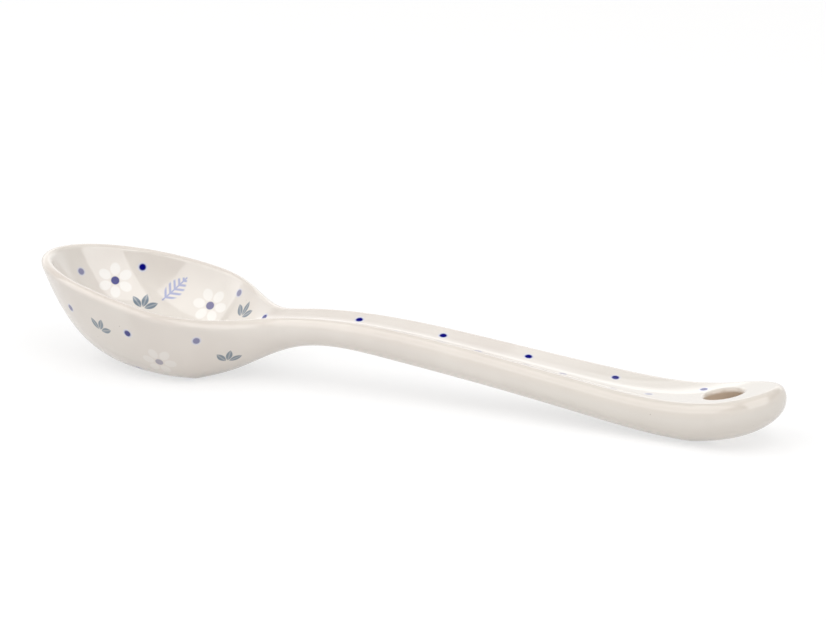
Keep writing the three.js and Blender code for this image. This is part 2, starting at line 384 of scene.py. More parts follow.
    def inside(self, x: Array) -> Array:
        """Height of the inside on the centre line.

        In front the floor rises to the lip as t^power. Behind the deepest station it rises by a smoothstep
        into the channel, which gets shallower towards the eye and ends at the tail's rim.

        Args:
            x: Stations along the length.

        Returns:
            Heights at the stations.
        """
        along = np.clip((self.deepest_x - x) / (self.deepest_x - self.rim_width), 0.0, 1.0)
        front = mix(self.floor, self.inner_edge(x), along**self.inside_power)
        depth = mix(self.channel_depth, self.tail_dish, smooth(self.lower_x, self.eye_x, x))
        kept = 1.0 - smooth(self.eye_x, self.length - self.rim_width, x)
        channel = self.inner_edge(x) - depth * kept
        behind = mix(self.floor, channel, smooth(self.deepest_x, self.joint_x, x))
        return np.where(x < self.deepest_x, front, behind)

    @staticmethod
    def dish(bottom: float, middle: Array, edge: Array, side: Array, power: float) -> Array:
        """Section of a dish: bottom + (edge - bottom) * (m + (1 - m) * side^2)^(power / 2)."""
        part = np.clip((middle - bottom) / (edge - bottom), 0.0, 1.0) ** (2.0 / power)
        return mix(bottom, edge, (part + (1.0 - part) * side**2) ** (power / 2.0))

    def sideways(self, x: Array, y: Array, inset: float) -> Array:
        """Share of the half width at which a point of the plan lies, 1 at the outline.

        Args:
            x: Stations along the length.
            y: Distances from the centre line.
            inset: How far the outline is drawn in.

        Returns:
            Shares from 0 to 1.
        """
        half = self.half_width(x, inset)
        share = np.abs(y) / np.maximum(half, WELD)
        return np.where(half > WELD, np.minimum(1.0, share), 1.0)

    def outer_height(self, x: Array, y: Array) -> Array:
        """Height of the outer surface: a dish under the bowl, a superelliptic bar under the handle.

        The bar is edge - (edge - middle) * (1 - side^power)^(1 / power). A smoothstep from the heel to the
        hump leads from the dish to the bar, and the underside is cut flat at z = 0.

        Args:
            x: Stations along the length.
            y: Distances from the centre line.

        Returns:
            Heights at those points.
        """
        side = self.sideways(x, y, 0.0)
        edge = self.outer_edge(x)
        middle = self.underside(x)
        bowl = self.dish(self.ground, middle, edge, side, self.bowl_power)
        bar = edge - (edge - middle) * (1.0 - side**self.bar_power) ** (1.0 / self.bar_power)
        return np.maximum(0.0, mix(bowl, bar, smooth(self.heel_x, self.hump_x, x)))

    def inner_height(self, x: Array, y: Array) -> Array:
        """Height of the inner surface, whose outline is drawn in by the rim's width."""
        side = self.sideways(x, y, self.rim_width)
        return self.dish(self.floor, self.inside(x), self.inner_edge(x), side, self.inside_power)


class Side(IntEnum):
    """The face of the clay that a point lies on."""

    OUTSIDE = -1
    LIP = 0
    INSIDE = 1


@dataclass(frozen=True)
class Grain:
    """How finely the surfaces are divided."""

    across: int = 44  # from the centre line to the rim
    lip: int = 14
    bowl_loft: int = 64
    bowl_turn: int = 150
    slip: int = 2
    handle_loft: int = 150
    tail_side: int = 16
    tail_turn: int = 96
    eye_arc: int = 8
    eye_wall: int = 10

    def shares(self) -> Array:
        """Shares of a line from the centre to the rim: sin(t), which is close-set at the rim."""
        return np.sin(np.linspace(0.0, np.pi / 2.0, self.across + 1))


@dataclass
class Shell:
    """A welded surface: points, faces, cut faces and what each point needs for its glaze."""

    points: Array
    faces: list[tuple[int, ...]]
    cuts: list[tuple[int, ...]]
    sides: Array
    # glaze thinning on the rim, and painted shade in the eye
    thin_glaze_and_shade: Array

    def corner_triangles(self) -> Array:
        """The faces without the cut ones, as triangles fanned from each first corner.

        Returns:
            Numbers of their points, three to a row.
        """
        quads = [face for face in self.faces if len(face) == 4]
        triples = [face for face in self.faces if len(face) == 3]
        split = np.array(quads, dtype=int).reshape(-1, 4)
        whole = np.array(triples, dtype=int).reshape(-1, 3)
        return np.concatenate([split[:, [0, 1, 2]], split[:, [0, 2, 3]], whole])


@dataclass
class Skin:
    """Grids of points that together enclose one piece of clay."""

    grids: list[tuple[Array, Side, Array]] = field(default_factory=list)
    loops: list[Array] = field(default_factory=list)

    def add(self, grid: Array, facing: Sequence[float], side: Side, thin_glaze_and_shade: Array | None = None) -> None:
        """Adds a grid whose middle face points along facing, and turns it round if it doesn't.

        Args:
            grid: Points in rows and columns.
            facing: Direction out of the clay at the grid's middle.
            side: Face of the clay that the grid lies on.
            thin_glaze_and_shade: How far the glaze thins at each column, where 1 is the crest of the rim;
                in the eye it also stands for painted shade.
        """
        row, column = grid.shape[0] // 2 - 1, grid.shape[1] // 2 - 1
        corner = grid[row, column]
        normal = np.cross(grid[row + 1, column] - corner, grid[row, column + 1] - corner)
        thin_and_shade = np.zeros(grid.shape[1]) if thin_glaze_and_shade is None else thin_glaze_and_shade
        turned = grid if normal @ np.asarray(facing) > 0.0 else grid[::-1]
        self.grids.append((turned, side, np.broadcast_to(thin_and_shade, grid.shape[:2])))

    def cut(self, loop: Array, facing: float) -> None:
        """Adds the flat face inside a loop that lies across the length.

        Args:
            loop: Points round the face, taken backwards if its area has the wrong sign.
            facing: 1 if the face points along +X, -1 if it points along -X.
        """
        behind = np.roll(loop, 1, axis=0)
        turn = np.sum(behind[:, 1] * loop[:, 2] - loop[:, 1] * behind[:, 2])
        self.loops.append(loop if turn * facing > 0.0 else loop[::-1])

    def weld(self) -> Shell:
        """Merges points that coincide, and turns the quads that lose a corner into triangles.

        Returns:
            The welded surface.
        """
        starts = np.cumsum([0] + [thin_and_shade.size for _, _, thin_and_shade in self.grids])
        quads = []
        for (_, _, thin_and_shade), start in zip(self.grids, starts):
            index = start + np.arange(thin_and_shade.size).reshape(thin_and_shade.shape)
            corners = (index[:-1, :-1], index[1:, :-1], index[1:, 1:], index[:-1, 1:])
            quads.append(np.stack(corners, axis=-1).reshape(-1, 4))
        loose = np.concatenate([grid.reshape(-1, 3) for grid, _, _ in self.grids])
        sides = np.concatenate([np.full(thin_and_shade.size, side) for _, side, thin_and_shade in self.grids])
        thin_glaze_and_shade = np.concatenate([thin_and_shade.ravel() for _, _, thin_and_shade in self.grids])
        keys = weld_keys(loose)
        _, first, merged = np.unique(keys, axis=0, return_index=True, return_inverse=True)
        merged = merged.ravel()
        faces = [tidy_corners(face) for face in merged[np.concatenate(quads)].tolist()]
        place = {tuple(key): number for number, key in enumerate(keys[first].tolist())}
        cuts = []
        for loop in self.loops:
            corners = [place[tuple(key)] for key in weld_keys(loop).tolist()]
            cuts.append(tidy_corners(corners))
        kept = [face for face in faces if len(face) > 2]
        return Shell(loose[first], kept, cuts, sides[first], thin_glaze_and_shade[first])


def tidy_corners(corners: Sequence[int]) -> tuple[int, ...]:
    """Corners of a face without the ones that repeat the corner before them."""
    return tuple(corner for number, corner in enumerate(corners) if corner != corners[number - 1])


def shared_normals(shells: Sequence[Shell]) -> list[Array]:
    """Vertex normals of several shells taken as one surface, so that no seam shows where they meet.

    Args:
        shells: The shells, whose seams hold the same points.

    Returns:
        One array of normals per shell: the mean of the faces round a point, weighted by area.
    """
    points = np.concatenate([shell.points for shell in shells])
    starts = np.cumsum([0] + [len(shell.points) for shell in shells])
    _, merged = np.unique(weld_keys(points), axis=0, return_inverse=True)
    merged = merged.ravel()
    corners = np.concatenate([shell.corner_triangles() + start for shell, start in zip(shells, starts)])
    spread = points[corners]
    facing = np.cross(spread[:, 1] - spread[:, 0], spread[:, 2] - spread[:, 0])
    total = np.zeros((merged.max() + 1, 3))
    for corner in range(3):
        np.add.at(total, merged[corners[:, corner]], facing)
    normals = unit(total)[merged]
    return [normals[start : start + len(shell.points)] for shell, start in zip(shells, starts)]


@dataclass(frozen=True)
class ClaySurface:
    """Builds grids on a spoon's form: its outer wall, its lip and its inside."""

    form: SpoonForm
    grain: Grain
    slope_share: float = 0.998  # of a line, from which on the slope at its edge is taken

    def outline(self, x: Array, hand: Array | float, inset: float) -> Array:
        """Plan points at stations x on one hand of the centre line, on the outline drawn in by inset."""
        return np.stack([x, hand * self.form.half_width(x, inset)], axis=-1)

    def sheet(self, poles: Array, edges: Array, height: Height, shares: Array | None = None) -> Array:
        """Grid of lines from poles to edges of the plan, lifted to a height field.

        Args:
            poles: Plan points where the lines begin.
            edges: Plan points where they end.
            height: The height field.
            shares: Shares of each line; sin(t) by default, which is close-set at the edge.

        Returns:
            Points in the shape (lines, shares, 3).
        """
        along = self.grain.shares() if shares is None else shares
        plan = mix(poles[:, None, :], edges[:, None, :], along[None, :, None])
        return np.concatenate([plan, height(plan[..., 0], plan[..., 1])[..., None]], axis=-1)

    def lip(self, outer: Array, inner: Array, poles: Array) -> Array:
        """Lip from the outer wall's edge to the inside's edge.

        Each line is a cubic Bezier curve that leaves both surfaces along their slopes. Its handles are
        those of the circular arc that turns by the same angle over the same width.

        Args:
            outer: Plan points on the outer outline.
            inner: Plan points on the inner outline.
            poles: Plan points towards which the slopes are taken.

        Returns:
            Points in the shape (lines, lip steps + 1, 3).
        """
        near_edge = np.array([self.slope_share, 1.0])
        under = self.sheet(poles, outer, self.form.outer_height, near_edge)
        top = self.sheet(poles, inner, self.form.inner_height, near_edge)
        start, end = under[:, 1], top[:, 1]
        rising, falling = unit(under[:, 1] - under[:, 0]), unit(top[:, 0] - top[:, 1])
        cosine = np.clip(np.sum(rising * falling, axis=-1, keepdims=True), -1.0, 1.0)
        turn = np.maximum(np.arccos(cosine), WELD)
        widest = np.hypot(self.form.rim_width, self.form.lip_reach(start[:, :1]))
        width = np.minimum(np.linalg.norm(end - start, axis=-1, keepdims=True), widest)
        handle = width / (2.0 * np.sin(turn / 2.0)) * np.tan(turn / 4.0) * 4.0 / 3.0
        control = np.stack([start, start + rising * handle, end - falling * handle, end], axis=1)
        along = np.linspace(0.0, 1.0, self.grain.lip + 1)
        back = 1.0 - along
        weights = np.stack([back**3, 3.0 * back**2 * along, 3.0 * back * along**2, along**3])
        return np.einsum("kj,lkc->ljc", weights, control)

    def worn_lip(self) -> Array:
        """How far the glaze thins across the lip: it draws back most from the crest."""
        return np.sin(np.linspace(0.0, np.pi, self.grain.lip + 1))

    def wrap(self, skin: Skin, outer: Array, inner: Array, poles: Array) -> None:
        """Adds the outer wall, the lip and the inside between neighbouring half sections.

        Args:
            skin: The skin to add to.
            outer: Plan points on the outer outline.
            inner: Plan points on the inner outline.
            poles: Plan points on the centre line where the half sections begin.
        """
        skin.add(self.sheet(poles, outer, self.form.outer_height), (0, 0, -1), Side.OUTSIDE)
        skin.add(self.lip(outer, inner, poles), (0, 0, 1), Side.LIP, self.worn_lip())
        skin.add(self.sheet(poles, inner, self.form.inner_height), (0, 0, 1), Side.INSIDE)

    def loft(self, skin: Skin, stations: Array) -> None:
        """Adds both hands of the spoon along straight-across sections.

        Args:
            skin: The skin to add to.
            stations: Stations of the sections.
        """
        poles = np.stack([stations, np.zeros_like(stations)], axis=-1)
        for hand in HANDS:
            outer = self.outline(stations, hand, 0.0)
            inner = self.outline(stations, hand, self.form.rim_width)
            self.wrap(skin, outer, inner, poles)

    def section(self, station: float) -> Array:
        """Closed loop of points round the section across the length at a station.

        Args:
            station: Where the section lies.

        Returns:
            Points in order round the section.
        """
        x = np.array([station])
        pole = np.array([[station, 0.0]])
        halves = []
        for hand in HANDS:
            outer, inner = self.outline(x, hand, 0.0), self.outline(x, hand, self.form.rim_width)
            under = self.sheet(pole, outer, self.form.outer_height)[0]
            top = self.sheet(pole, inner, self.form.inner_height)[0]
            halves.append(np.concatenate([under, self.lip(outer, inner, pole)[0, 1:-1], top[::-1]]))
        return np.concatenate([halves[0], halves[1][::-1][1:-1]])


@dataclass(frozen=True)
class ClayPiece:
    """A piece of the spoon: its name, the node it stands for, and a slot name that nothing here uses."""

    surface: ClaySurface
    name: str
    node: str
    slot: str

    @property
    def form(self) -> SpoonForm:
        """Sizes of the spoon."""
        return self.surface.form

    @property
    def grain(self) -> Grain:
        """Divisions of the surface."""
        return self.surface.grain

    def skin(self) -> Skin:
        """Surface grids and cut faces of the piece."""
        raise NotImplementedError

    def build(self, shell: Shell, normals: Array, stamps: "Decoration", finishes: Sequence[Any]) -> Any:
        """Makes the piece's object, dresses it and sets it in the frame.

        Args:
            shell: The piece's welded surface.
            normals: Vertex normals shared with the neighbours.
            stamps: The decoration under the glaze.
            finishes: The glaze, and the bare clay of the cut faces.

        Returns:
            The object.
        """
        mesh = bpy.data.meshes.new(self.name)
        placed = (shell.points - [self.form.length / 2.0, 0.0, 0.0]) * METRES_PER_MM
        mesh.from_pydata(placed.tolist(), [], shell.faces + shell.cuts)
        is_cut = np.arange(len(mesh.polygons)) >= len(shell.faces)
        mesh.polygons.foreach_set("use_smooth", ~is_cut)
        mesh.polygons.foreach_set("material_index", is_cut.astype(np.int32))
        for finish in finishes:
            mesh.materials.append(finish)
        self.set_normals(mesh, shell, normals)
        stamps.apply(mesh, shell)
        # Glaze thinning on the rim, and painted shade in the eye, for the glaze's colour.
        thin_glaze_and_shade = mesh.attributes.new("thin_glaze_and_shade", "FLOAT", "POINT")
        thin_glaze_and_shade.data.foreach_set("value", shell.thin_glaze_and_shade.astype(np.float32))
        piece = link(self.name, mesh)
        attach(piece, BODY)
        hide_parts(self.node)
        log.info("%s: %d points, %d faces", self.name, len(mesh.vertices), len(mesh.polygons))
        return piece

    @staticmethod
    def set_normals(mesh: Any, shell: Shell, normals: Array) -> None:
        """Gives smooth faces the shared normals and each cut face its own flat one.

        Args:
            mesh: The mesh to write on.
            shell: The welded surface that it was made from.
            normals: Vertex normals shared with the neighbours.
        """
        split = normals[corner_points(mesh)]
        for polygon in list(mesh.polygons)[len(shell.faces) :]:
            split[polygon.loop_start : polygon.loop_start + polygon.loop_total] = polygon.normal
        mesh.normals_split_custom_set(split.tolist())


@dataclass(frozen=True)
class Bowl(ClayPiece):
    """The egg-shaped bowl, from the tip to the slip at the neck."""

    name: str = "bowl_glazed"
    node: str = "bowl"
    slot: str = "bowl_glaze"

    def skin(self) -> Skin:
        """Straight-across sections behind the widest station, and a half turn round it in front.

        Returns:
            The piece's grids and cut faces.
        """
        form, skin = self.form, Skin()
        self.surface.loft(skin, np.linspace(form.slip_front, form.widest_x, self.grain.bowl_loft + 1))
        turn = np.linspace(0.0, np.pi, self.grain.bowl_turn + 1)
        hand = hand_round(turn)
        poles = np.tile([form.widest_x, 0.0], (len(turn), 1))
        outlines = []
        for inset in (0.0, form.rim_width):
            x = form.widest_x - (form.widest_x - inset) * np.sin(turn)
            outlines.append(self.surface.outline(x, hand, inset))
        self.surface.wrap(skin, outlines[0], outlines[1], poles)
        skin.cut(self.surface.section(form.slip_front), 1.0)
        return skin


@dataclass(frozen=True)
class Slip(ClayPiece):
    """The layer of slip that lutes the handle to the bowl, glazed over where it shows."""

    name: str = "slip_seam"
    node: str = "luting_slip"
    slot: str = "slip_clay"

    def skin(self) -> Skin:
        """A short stretch of the neck between two cut faces.

        Returns:
            The piece's grids and cut faces.
        """
        form, skin = self.form, Skin()
        self.surface.loft(skin, np.linspace(form.slip_front, form.slip_back, self.grain.slip + 1))
        skin.cut(self.surface.section(form.slip_front), -1.0)
        skin.cut(self.surface.section(form.slip_back), 1.0)
        return skin


@dataclass(frozen=True)
class Handle(ClayPiece):
    """The channelled handle with its wide tail and the hanging eye."""

    name: str = "handle_glazed"
    node: str = "handle"
    slot: str = "handle_glaze"
    eye_clearance: float = 9.5  # from the eye's axis forward to where the rings round it begin
    wall_thin_glaze_and_shade: float = 5.6  # glaze thinning and painted shade on the eye's wall, as a multiple of the rim's; the deep, narrow hole lies in shade
    wall_fade: float = 1.4  # power by which the glaze thinning and the painted shade fade over the eye's rounding

    @property
    def ring_x(self) -> float:
        """Station where straight-across sections give way to rings round the eye."""
        return self.form.eye_x - self.eye_clearance

    def skin(self) -> Skin:
        """Straight-across sections up to the tail, then rings round the eye.

        Returns:
            The piece's grids and cut faces.
        """
        form, skin = self.form, Skin()
        self.surface.loft(skin, np.linspace(form.slip_back, self.ring_x, self.grain.handle_loft + 1))
        self.tail(skin)
        skin.cut(self.surface.section(form.slip_back), -1.0)
        return skin

    def tail_outline(self, inset: float) -> tuple[Array, Array]:
        """The tail's outline and the pole towards which each of its points' section runs.

        Args:
            inset: How far the outline is drawn in.

        Returns:
            Plan points from one end of the first ring's chord round to the other, and their poles.
        """
        form, grain = self.form, self.grain
        cap_x = form.length - form.tail_cap
        straight = np.linspace(self.ring_x, cap_x, grain.tail_side + 1)[:-1]
        turn = np.linspace(0.0, np.pi, grain.tail_turn + 1)
        curved = cap_x + (form.tail_cap - inset) * np.sin(turn)
        stations = np.concatenate([straight, curved, straight[::-1]])
        ones = np.ones_like(straight)
        hand = np.concatenate([ones, hand_round(turn), -ones])
        pole_x = np.minimum(stations, cap_x)
        poles = np.stack([pole_x, np.zeros_like(pole_x)], axis=-1)
        return self.surface.outline(stations, hand, inset), poles

    def ring_sheet(self, axis: Array, outline: Array, height: Height, lift: float) -> Array:
        """Grid from the eye's rounded edge out to the first ring's chord and the tail's outline.

        Along each line the radius grows from the eye's by rounding * (1 - cos a), while the surface falls
        by rounding * (1 - sin a), as a goes from 0 to a quarter turn; then it runs out to the outline.

        Args:
            axis: Plan point of the eye's centre on this face.
            outline: The tail's outline.
            height: The face's height field.
            lift: 1 where the rounding falls away from a face that looks up, -1 where it looks down.

        Returns:
            Points in the shape (lines, shares, 3).
        """
        form, grain = self.form, self.grain
        shares = grain.shares()
        chord = np.stack([np.full_like(shares, self.ring_x), shares * outline[0, 1]], axis=-1)
        mirrored = chord[::-1] * [1.0, -1.0]
        border = np.concatenate([chord[:-1], outline, mirrored[1:]])
        reach = np.linalg.norm(border - axis, axis=-1, keepdims=True)
        heading = (border - axis) / reach
        turn = np.linspace(0.0, np.pi / 2.0, grain.eye_arc + 1)
        near = form.eye_diameter / 2.0 + form.eye_rounding * (1.0 - np.cos(turn))
        rounding = np.broadcast_to(near, (len(border), len(near)))
        radii = np.concatenate([rounding, mix(near[-1], reach, shares[None, 1:])], axis=1)
        fall = np.zeros(radii.shape[1])
        fall[: len(turn)] = form.eye_rounding * (1.0 - np.sin(turn))
        plan = axis + heading[:, None, :] * radii[..., None]
        level = height(plan[..., 0], plan[..., 1]) - lift * fall
        return np.concatenate([plan, level[..., None]], axis=-1)

    def tail(self, skin: Skin) -> None:
        """Adds the tail: both faces ringed round the eye, the lip round it and the eye's wall.

        The eye's axis leans so that it stands square on the slope of the tail.

        Args:
            skin: The skin to add to.
        """
        form = self.form
        run = form.rim_width
        top_z = float(form.inner_height(form.eye_x, 0.0))
        rise = float(form.inner_height(form.eye_x + run, 0.0)) - top_z
        lean = rise / run * (top_z - float(form.underside(form.eye_x))) / 2.0
        outer, poles = self.tail_outline(0.0)
        inner, _ = self.tail_outline(form.rim_width)
        under_axis = np.array([form.eye_x + lean, 0.0])
        top_axis = np.array([form.eye_x - lean, 0.0])
        under = self.ring_sheet(under_axis, outer, form.outer_height, -1.0)
        top = self.ring_sheet(top_axis, inner, form.inner_height, 1.0)
        # The eye's wall and rounding take glaze thinning and painted shade, since the deep, narrow hole
        # lies in shade.
        fade = np.linspace(1.0, 0.0, self.grain.eye_arc + 1) ** self.wall_fade
        rounded = np.zeros(top.shape[1])
        rounded[: len(fade)] = self.wall_thin_glaze_and_shade * fade
        skin.add(under, (0, 0, -1), Side.OUTSIDE, rounded)
        skin.add(top, (0, 0, 1), Side.INSIDE, rounded)
        skin.add(self.surface.lip(outer, inner, poles), (0, 0, 1), Side.LIP, self.surface.worn_lip())
        steps = np.linspace(0.0, 1.0, self.grain.eye_wall + 1)
        wall = mix(under[:, None, 0, :], top[:, None, 0, :], steps[None, :, None])
        skin.add(wall, (-1, 0, 0), Side.LIP, np.full(len(steps), self.wall_thin_glaze_and_shade))


class Motif(IntEnum):
    """Stamps of the decoration, and the bare glaze between them."""

    BARE = 0
    BLOSSOM = 1
    LEAVES = 2
    SPRIG = 3
    DOT = 4


@dataclass(frozen=True)
class Stamp:
    """One print: where its middle lies on the plan, its radius in mm, its turn and its strength."""

    motif: Motif
    x: float
    y: float
    radius: float
    turn: float = 0.0
    tone: float = 1.0
    side: Side = Side.INSIDE


@dataclass(frozen=True)
class Decoration:
    """The stamps under the glaze, written on the meshes as coordinates of the print that covers a face."""

    form: SpoonForm
    dot_radius: float = 0.8
    dot_pitch: float = 18.2
    first_dot_x: float = 69.5
    dots_in_row: int = 5
    row_share: float = 0.5  # of the channel's half width
    faint_tone: float = 0.4  # of the channel's second row
    dot_reach: float = 2.0  # a dot's field, as a multiple of its radius
    motif_reach: float = 1.2  # the other prints' fields
    slope_step: float = 0.05  # mm to either side over which a face's slope is taken

    def bowl_stamps(self) -> list[Stamp]:
        """Blossoms, leaves, sprigs and dots scattered over both faces of the bowl.

        Returns:
            The bowl's stamps.
        """
        small = self.dot_radius
        inside = [
            Stamp(Motif.DOT, 5.6, 3.4, small, tone=0.6),
            Stamp(Motif.BLOSSOM, 11.0, 8.0, 4.0, 20.0),
            Stamp(Motif.DOT, 15.2, 12.2, small),
            Stamp(Motif.LEAVES, 17.4, 7.6, 3.5, 110.0),
            Stamp(Motif.SPRIG, 22.4, 12.6, 3.7, 75.0),
            Stamp(Motif.DOT, 24.2, 7.8, small),
            Stamp(Motif.BLOSSOM, 30.6, 12.4, 4.0, 0.0, 0.8),
            Stamp(Motif.DOT, 37.0, 13.0, small, tone=0.6),
            Stamp(Motif.LEAVES, 39.6, 8.2, 3.9, 40.0),
            Stamp(Motif.DOT, 47.4, 3.4, small),
            Stamp(Motif.BLOSSOM, 29.4, 2.0, 4.0, 40.0),
            Stamp(Motif.SPRIG, 17.0, -1.6, 4.2, 200.0),
            Stamp(Motif.DOT, 23.4, -3.6, small),
            Stamp(Motif.LEAVES, 37.6, -2.2, 3.9, 110.0),
            Stamp(Motif.DOT, 6.8, -4.8, small),
            Stamp(Motif.LEAVES, 12.4, -8.6, 3.9, 130.0),
            Stamp(Motif.BLOSSOM, 20.0, -10.4, 4.0, 10.0, 0.8),
            Stamp(Motif.DOT, 26.4, -13.4, small, tone=0.6),
            Stamp(Motif.SPRIG, 30.0, -8.6, 4.2, 300.0),
            Stamp(Motif.BLOSSOM, 38.6, -10.2, 4.0, 30.0),
            Stamp(Motif.DOT, 45.2, -5.0, small),
        ]
        return inside + self.outside_stamps()

    def outside_stamps(self) -> list[Stamp]:
        """Dots, pale blossoms and leaves round the bowl's outer wall, the same on both hands.

        Returns:
            The outer wall's stamps.
        """
        small = self.dot_radius
        stamps = []
        for hand in HANDS:
            for motif, x, y, radius, turn, tone in (
                (Motif.DOT, 11.8, 12.6, small, 0.0, 0.7),
                (Motif.LEAVES, 19.6, 14.6, 3.4, 255.0, 1.0),
                (Motif.DOT, 26.8, 16.6, small, 0.0, 1.0),
                (Motif.BLOSSOM, 32.6, 14.2, 3.8, 15.0, 0.5),
                (Motif.DOT, 40.6, 13.4, small, 0.0, 0.7),
                (Motif.LEAVES, 44.4, 7.4, 3.4, 330.0, 1.0),
                (Motif.DOT, 26.0, 10.4, small, 0.0, 0.7),
                (Motif.BLOSSOM, 18.6, 6.4, 3.8, 0.0, 0.5),
                (Motif.DOT, 36.0, 8.0, small, 0.0, 1.0),
            ):
                stamps.append(Stamp(motif, x, hand * y, radius, turn, tone, Side.OUTSIDE))
        return stamps

    def handle_stamps(self) -> list[Stamp]:
        """Two rows of dots along the channel, the second half a pitch behind the first and fainter.

        Returns:
            The channel's stamps.
        """
        stamps = []
        for number in range(self.dots_in_row):
            x = self.first_dot_x + number * self.dot_pitch
            spread = float(self.form.half_width(np.array(x), self.form.rim_width)) * self.row_share
            stamps.append(Stamp(Motif.DOT, x, spread, self.dot_radius))
            behind = x + self.dot_pitch / 2.0
            if number + 1 < self.dots_in_row:
                stamps.append(Stamp(Motif.DOT, behind, -spread, self.dot_radius, tone=self.faint_tone))
        return stamps

    def apply(self, mesh: Any, shell: Shell) -> None:
        """Writes at each face's corners their place on a print, in radii, with its motif and its tone.

        A face takes the print whose field's edge is the least distance from its middle, and is bare outside
        the field, so no coordinate is carried over from one print to another.

        Args:
            mesh: The mesh to write on.
            shell: The welded surface that it was made from.
        """
        stamps = self.bowl_stamps() + self.handle_stamps()
        placed = [self.tangents(stamp) for stamp in stamps]
        middles, along, across = (np.array(vectors) for vectors in zip(*placed))
        motifs, radii, tones, sides = np.transpose(
            [(stamp.motif, stamp.radius, stamp.tone, stamp.side) for stamp in stamps]
        )
        corners = corner_points(mesh)
        totals = np.empty(len(mesh.polygons), dtype=np.int32)
        mesh.polygons.foreach_get("loop_total", totals)
        owner = np.repeat(np.arange(len(totals)), totals)
        sums = np.stack([np.bincount(owner, part) for part in shell.points[corners].T], axis=-1)
        centres = sums / totals[:, None]
        facing = np.bincount(owner, shell.sides[corners])
        fields = radii * np.where(motifs == Motif.DOT, self.dot_reach, self.motif_reach)
        outside = np.linalg.norm(centres[:, None, :] - middles[None, :, :], axis=-1) - fields
        outside[facing[:, None] * sides[None, :] < 0.0] = np.inf
        nearest = np.argmin(outside, axis=1)
        covering = np.where(np.min(outside, axis=1) < 0.0, motifs[nearest], float(Motif.BARE))
        chosen = nearest[owner]
        offset = (shell.points[corners] - middles[chosen]) / radii[chosen, None]
        print_field = np.stack(
            [
                np.sum(offset * along[chosen], axis=-1),
                np.sum(offset * across[chosen], axis=-1),
                covering[owner],
            ],
            axis=-1,
        )
        prints = mesh.attributes.new("print", "FLOAT_VECTOR", "CORNER")
        prints.data.foreach_set("vector", print_field.ravel())
        strengths = mesh.attributes.new("tone", "FLOAT", "CORNER")
        strengths.data.foreach_set("value", tones[chosen])

    def tangents(self, stamp: Stamp) -> tuple[Array, Array, Array]:
        """Middle of a stamp on its face, and its two axes in the face's tangent plane.

        The slopes are the height field's differences over two steps along and across the spoon.

        Args:
            stamp: The stamp.

        Returns:
            The middle in mm, the axis along the print and the axis across it.
        """
        height = self.form.inner_height if stamp.side is Side.INSIDE else self.form.outer_height
        step = self.slope_step
        x = stamp.x + step * np.array([0.0, 1.0, -1.0, 0.0, 0.0])
        y = stamp.y + step * np.array([0.0, 0.0, 0.0, 1.0, -1.0])
        z = height(x, y)
        slope_x, slope_y = (z[1] - z[2]) / (2.0 * step), (z[3] - z[4]) / (2.0 * step)
        first = unit(np.array([1.0, 0.0, slope_x]))
        normal = unit(np.array([-slope_x, -slope_y, 1.0]))
        second = np.cross(normal, first)
        turn = math.radians(stamp.turn)
        along = math.cos(turn) * first + math.sin(turn) * second
        return np.array([stamp.x, stamp.y, z[0]]), along, np.cross(normal, along)


Value = Union["Wire", float, Sequence[float]]


@dataclass(frozen=True)
class Wire:
    """An output of a shader tree. Arithmetic on it adds Math nodes."""

    shader: "Shader"
    socket: Any

    def math(self, operation: str, *others: Value) -> "Wire":
        """Result of a Math node on this value and others."""
        return self.shader.add("ShaderNodeMath", {"operation": operation}, dict(enumerate((self, *others))))

    def before(self, operation: str, first: Value) -> "Wire":
        """Result of a Math node whose first value is given and whose second is this one."""
        return self.shader.add("ShaderNodeMath", {"operation": operation}, {0: first, 1: self})

    def __add__(self, other: Value) -> "Wire":
        """Sum."""
        return self.math("ADD", other)

    __radd__ = __add__

    def __sub__(self, other: Value) -> "Wire":
        """Difference."""
        return self.math("SUBTRACT", other)

    def __rsub__(self, other: Value) -> "Wire":
        """Difference, reflected."""
        return self.before("SUBTRACT", other)

    def __mul__(self, other: Value) -> "Wire":
        """Product."""
        return self.math("MULTIPLY", other)

    __rmul__ = __mul__

    def __truediv__(self, other: Value) -> "Wire":
        """Quotient."""
        return self.math("DIVIDE", other)

    def __rtruediv__(self, other: Value) -> "Wire":
        """Quotient, reflected."""
        return self.before("DIVIDE", other)

    def __pow__(self, other: Value) -> "Wire":
        """Power."""
        return self.math("POWER", other)

    def __abs__(self) -> "Wire":
        """Value without its sign."""
        return self.math("ABSOLUTE")

    def step(self, start: float, end: float) -> "Wire":
        """Smoothstep from 0 at start to 1 at end; falling where end lies before start."""
        limits = {"Value": self, "From Min": start, "From Max": end}
        return self.shader.add("ShaderNodeMapRange", {"interpolation_type": "SMOOTHSTEP"}, limits)

    def is_near(self, number: float) -> "Wire":
        """1 where the value lies within a half of a number, else 0."""
        return self.math("COMPARE", number, 0.5)

    def output(self, name: str) -> "Wire":
        """Another output of the same node."""
        return Wire(self.shader, self.socket.node.outputs[name])


